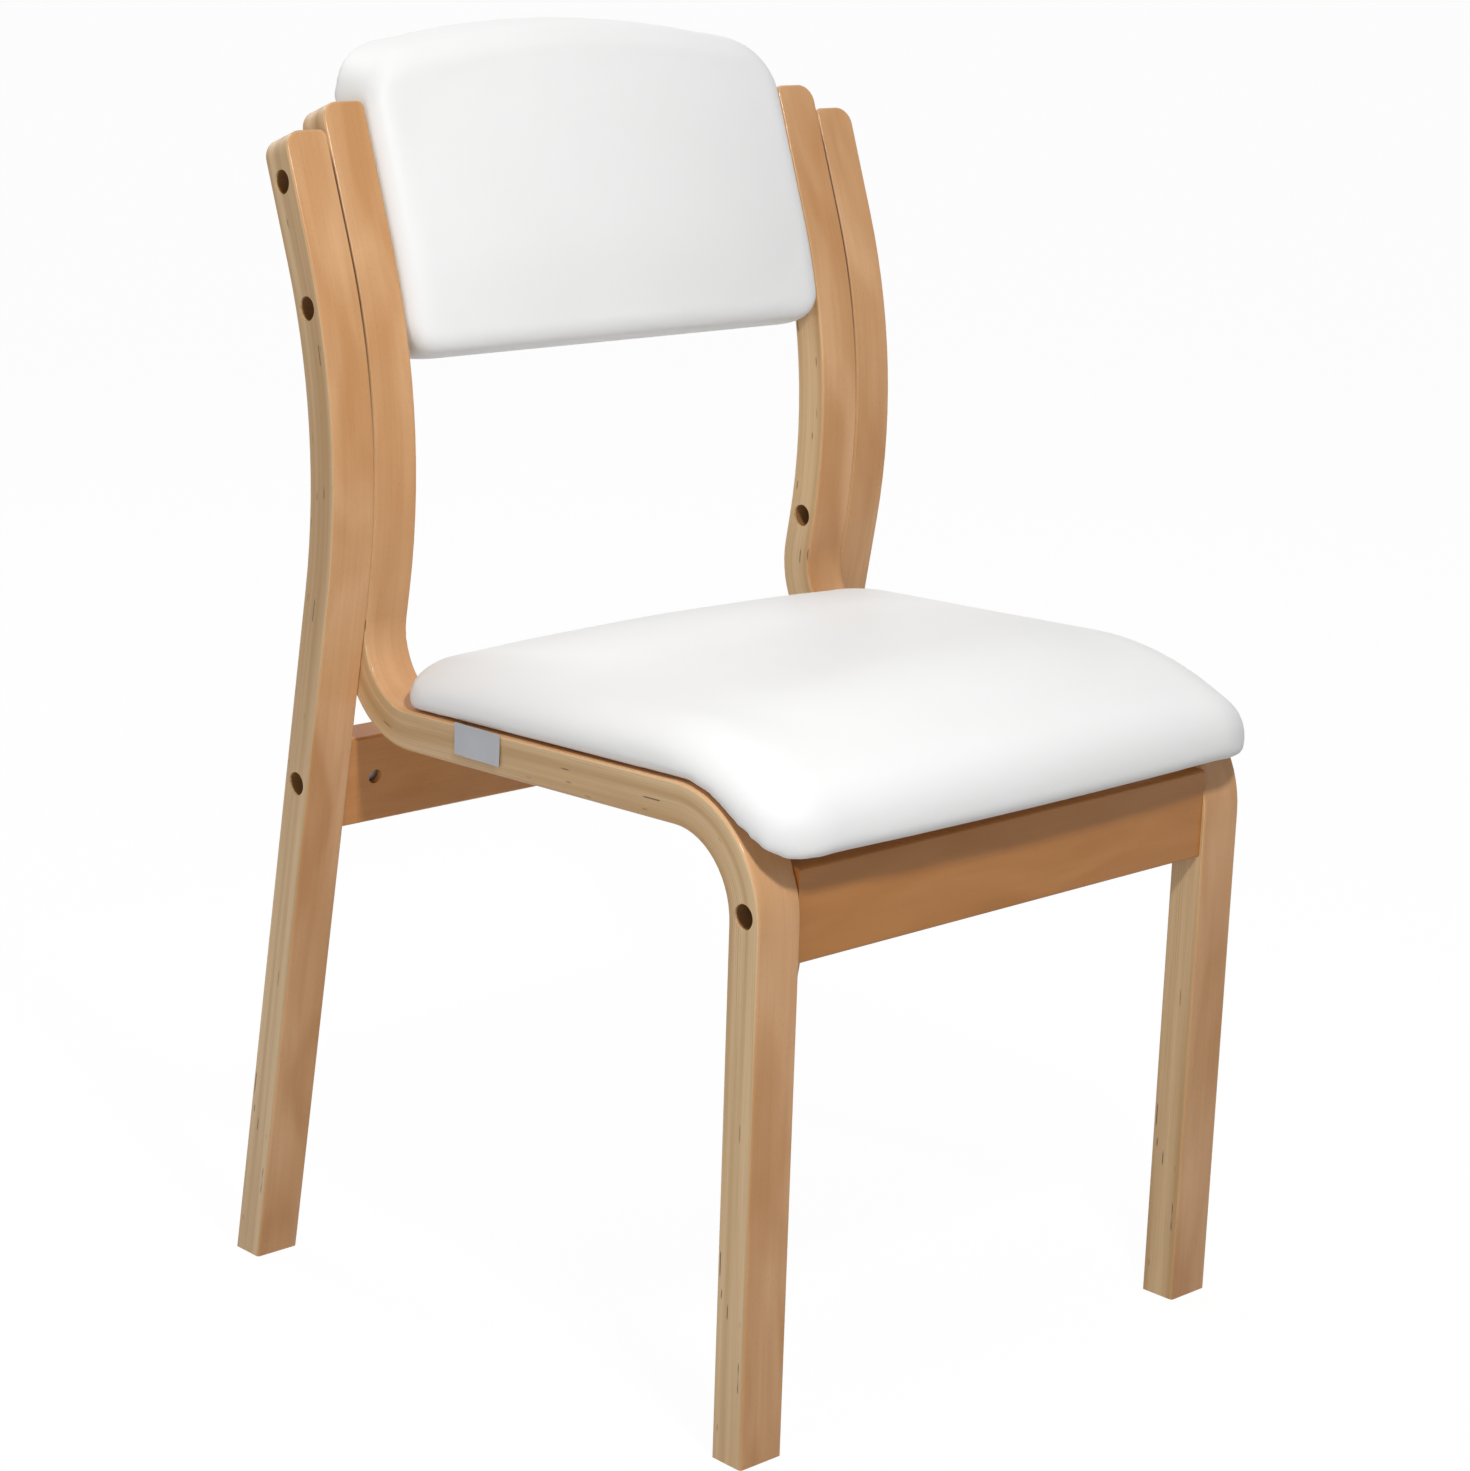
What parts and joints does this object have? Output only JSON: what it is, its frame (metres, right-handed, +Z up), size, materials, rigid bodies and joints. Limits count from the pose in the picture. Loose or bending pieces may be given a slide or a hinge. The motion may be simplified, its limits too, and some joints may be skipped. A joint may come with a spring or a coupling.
{
  "type": "waiting room chair",
  "caption": "Armless waiting room chair: splayed bent-laminate beech frame, padded vinyl seat with a dropped front edge, and a short padded back held between the posts.",
  "frame": {"origin": "on the floor, below the middle of the chair's bounding box", "axes": "+Z up, the chair faces -Y, +X to the right as seen from in front of it"},
  "size_m": [0.5, 0.5402, 0.857],
  "materials": {
    "beech": "satin clear lacquer",
    "rail_beech": "satin clear lacquer",
    "dowel_beech": "bare",
    "zinc_steel": "zinc plated",
    "plywood": "bare",
    "foam": "open cell",
    "vinyl": "smooth satin",
    "panel_vinyl": "smooth satin",
    "dust_cloth": "non-woven, matt",
    "tag_tape": "woven, matt"
  },
  "bodies": {
    "root": {"rear_leg_left": "beech", "rear_leg_right": "beech", "side_frame_left": "beech", "side_frame_right": "beech", "front_rail": "rail_beech", "rear_rail": "rail_beech", "front_rail_dowels": "dowel_beech", "rear_rail_dowels": "dowel_beech", "front_rail_bolts": "zinc_steel", "front_rail_nuts": "zinc_steel", "rear_rail_bolts": "zinc_steel", "rear_rail_nuts": "zinc_steel", "frame_tie_screws": "zinc_steel", "back_bolts": "zinc_steel", "back_nuts": "zinc_steel", "bolt_washers": "zinc_steel", "seat_screws": "zinc_steel", "seat_tee_nuts": "zinc_steel", "seat_board": "plywood", "back_board": "plywood", "seat_foam": "foam", "back_foam": "foam", "seat_cover": "vinyl", "back_cover": "vinyl", "back_panel": "panel_vinyl", "seat_dust_cloth": "dust_cloth", "side_tag": "tag_tape"}
  },
  "joints": []
}
